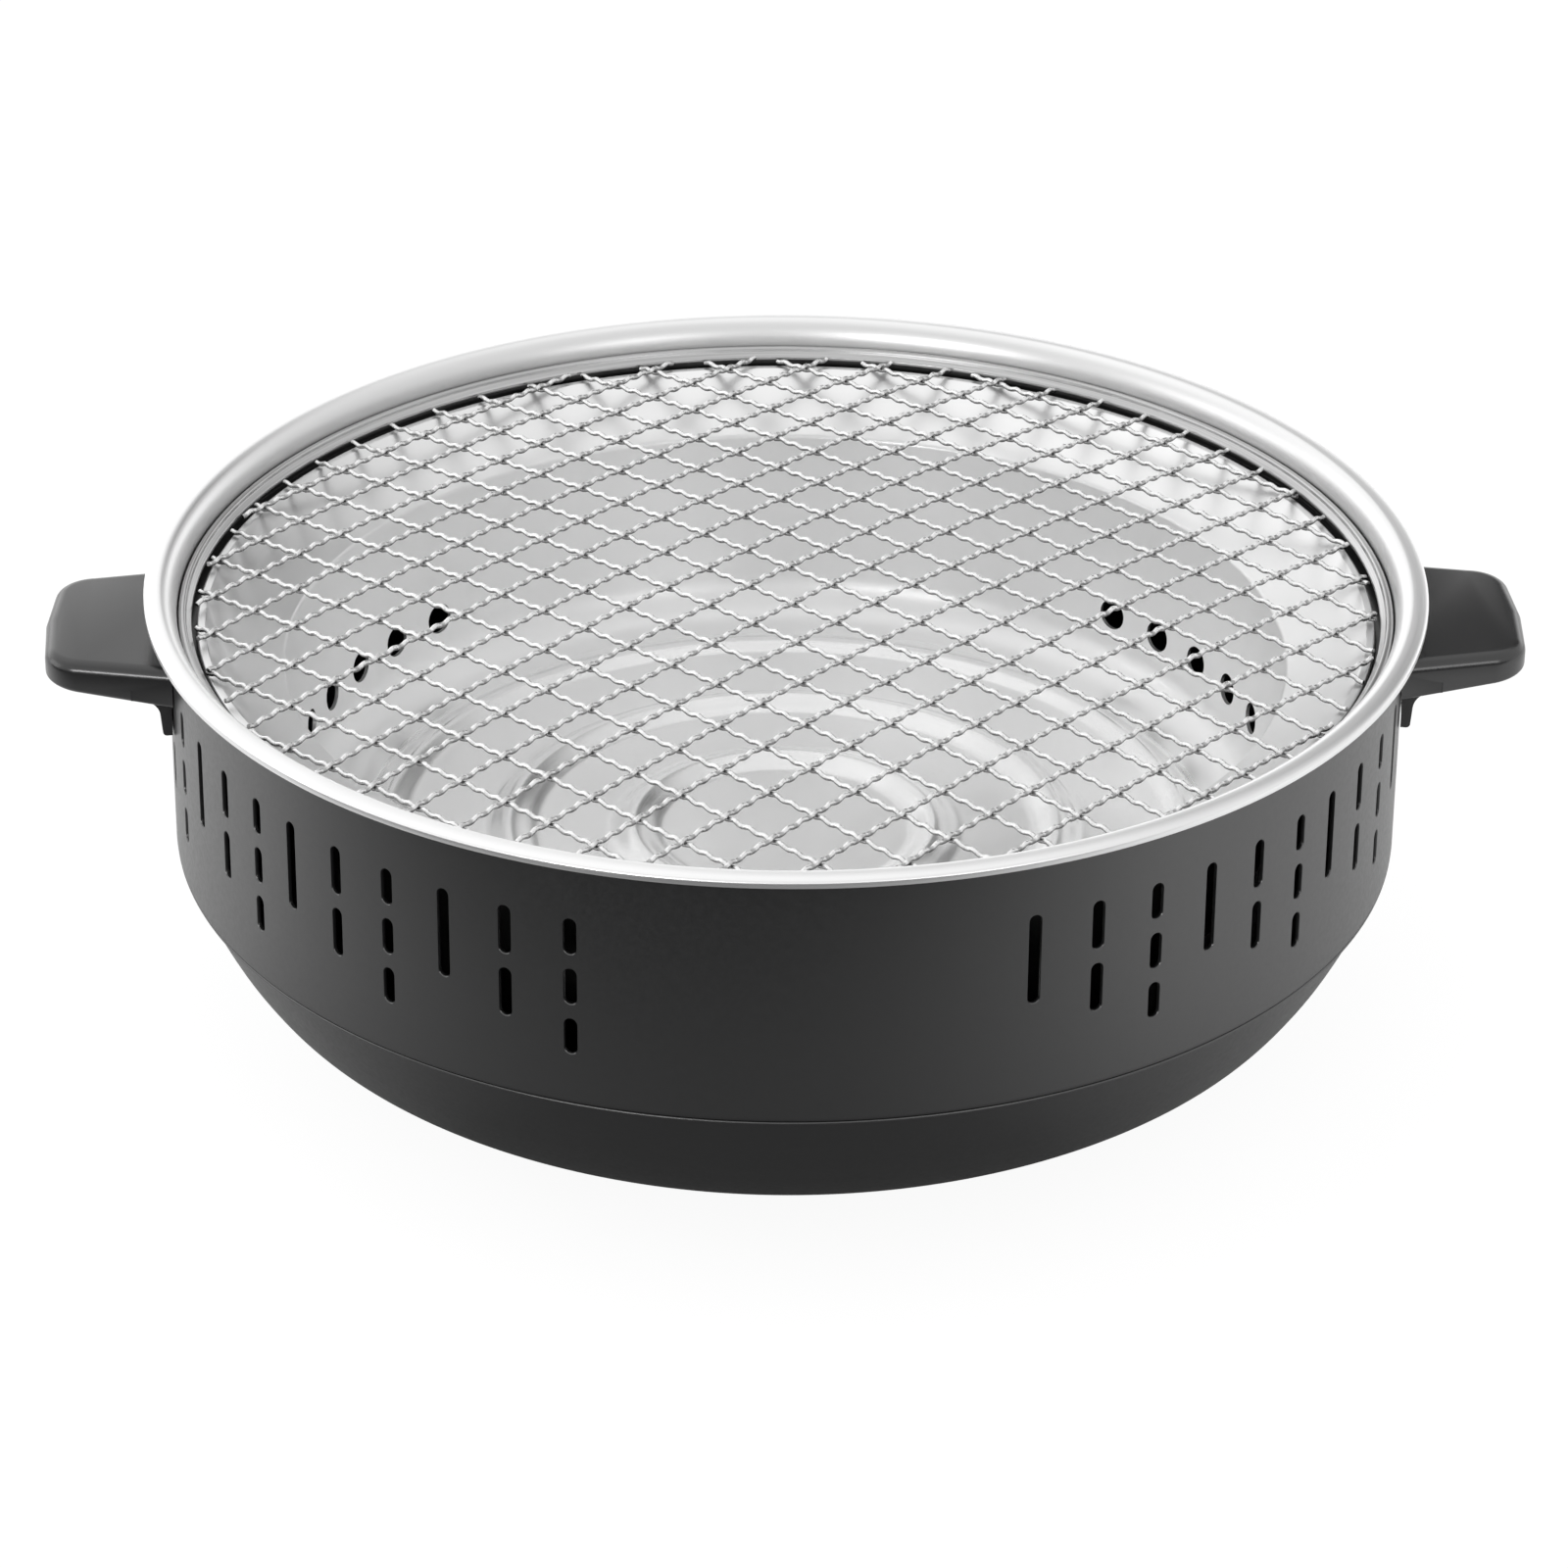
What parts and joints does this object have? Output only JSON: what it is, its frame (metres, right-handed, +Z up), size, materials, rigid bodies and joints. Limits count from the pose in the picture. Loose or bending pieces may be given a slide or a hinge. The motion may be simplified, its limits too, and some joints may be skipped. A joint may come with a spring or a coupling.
{
  "type": "tabletop charcoal grill",
  "caption": "Round tabletop charcoal grill with a slotted black steel body, bright rim ring, lift-out fire bowl, woven wire grate and two side handles.",
  "frame": {"origin": "on the table, under the middle of the grill", "axes": "+Z up along the axis of the round body, +X towards the right handle, -Y towards the front, between the two runs of slots"},
  "size_m": [0.3822, 0.33, 0.1277],
  "materials": {
    "black_paint": "satin black paint",
    "bright_steel": "bright pressed stainless steel",
    "bowl_steel": "satin pressed stainless steel",
    "wire_steel": "bright plated wire",
    "black_plastic": "moulded satin black",
    "rubber": "matte",
    "zinc": "zinc plated"
  },
  "bodies": {
    "body": {"shell_wall": "black_paint", "base_bowl": "black_paint", "rim_ring": "bright_steel", "support_ring": "bright_steel", "handle_left": "black_plastic", "handle_right": "black_plastic", "handle_screw_left_1": "zinc", "handle_screw_left_2": "zinc", "handle_screw_right_1": "zinc", "handle_screw_right_2": "zinc", "handle_washer_left_1": "zinc", "handle_washer_left_2": "zinc", "handle_washer_right_1": "zinc", "handle_washer_right_2": "zinc", "foot_1": "rubber", "foot_2": "rubber", "foot_3": "rubber", "foot_4": "rubber", "foot_screw_1": "zinc", "foot_screw_2": "zinc", "foot_screw_3": "zinc", "foot_screw_4": "zinc", "foot_nut_1": "zinc", "foot_nut_2": "zinc", "foot_nut_3": "zinc", "foot_nut_4": "zinc"},
    "bowl": {"fire_bowl": "bowl_steel"},
    "grate": {"mesh_grate": "wire_steel"}
  },
  "joints": [
    {"name": "bowl_lift", "type": "slide", "parent": "body", "child": "bowl", "axis": [0, 0, 1], "range_m": [0, 0.09]},
    {"name": "grate_lift", "type": "slide", "parent": "bowl", "child": "grate", "axis": [0, 0, 1], "range_m": [0, 0.04]}
  ]
}
